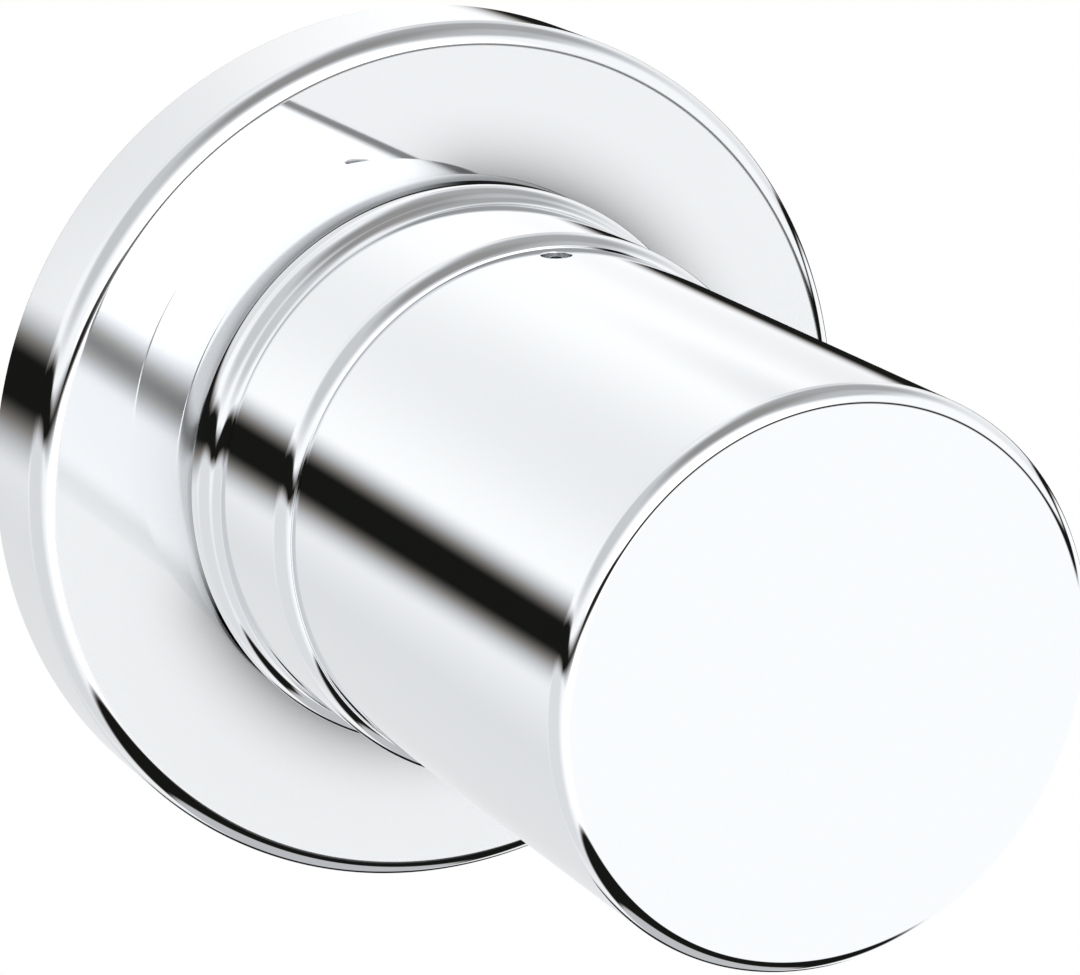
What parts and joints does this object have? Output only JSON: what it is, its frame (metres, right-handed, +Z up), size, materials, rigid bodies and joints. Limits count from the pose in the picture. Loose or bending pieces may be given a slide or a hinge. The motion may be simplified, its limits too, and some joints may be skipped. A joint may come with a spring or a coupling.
{
  "type": "concealed shut-off valve",
  "caption": "Round chrome shut-off valve for a concealed pipe: cylindrical handle on a sleeve and rosette, with a quarter-turn ceramic disc headwork and half-inch pipe thread.",
  "frame": {"origin": "on the valve's axis, in the plane of the finished wall that the rosette's rim rests on", "axes": "+Y along the valve's axis into the wall, -Y into the room towards the handle, +Z up, +X to the right as seen from the room"},
  "size_m": [0.075, 0.114, 0.075],
  "materials": {
    "chrome_plate": "polished chrome plate",
    "bare_brass": "turned, bare",
    "stainless_steel": "machined",
    "white_plastic": "moulded acetal",
    "black_rubber": "moulded nitrile rubber",
    "foam_rubber": "closed-cell foam",
    "disc_ceramic": "lapped alumina"
  },
  "bodies": {
    "wall_set": {"rosette": "chrome_plate", "foam_ring": "foam_rubber", "sleeve": "chrome_plate", "sleeve_o_ring": "black_rubber", "slide_ring": "white_plastic", "carrier_bush": "bare_brass", "lock_nut": "bare_brass", "headwork_housing": "bare_brass", "housing_gasket": "black_rubber", "thrust_washer": "white_plastic", "fixed_disc": "disc_ceramic", "seat_seal": "black_rubber"},
    "turning_set": {"handle": "chrome_plate", "handle_set_screw": "stainless_steel", "handle_insert": "white_plastic", "insert_screw": "stainless_steel", "lock_washer": "stainless_steel", "spindle_extension": "bare_brass", "spindle": "bare_brass", "spindle_o_rings": "black_rubber", "stop_ring": "bare_brass", "circlip": "stainless_steel", "rotating_disc": "disc_ceramic"}
  },
  "joints": [
    {"name": "handle_turn", "type": "hinge", "parent": "wall_set", "child": "turning_set", "pos_m": [0, -0.05, 0], "axis": [0, -1, 0], "range_deg": [0, 90]}
  ]
}
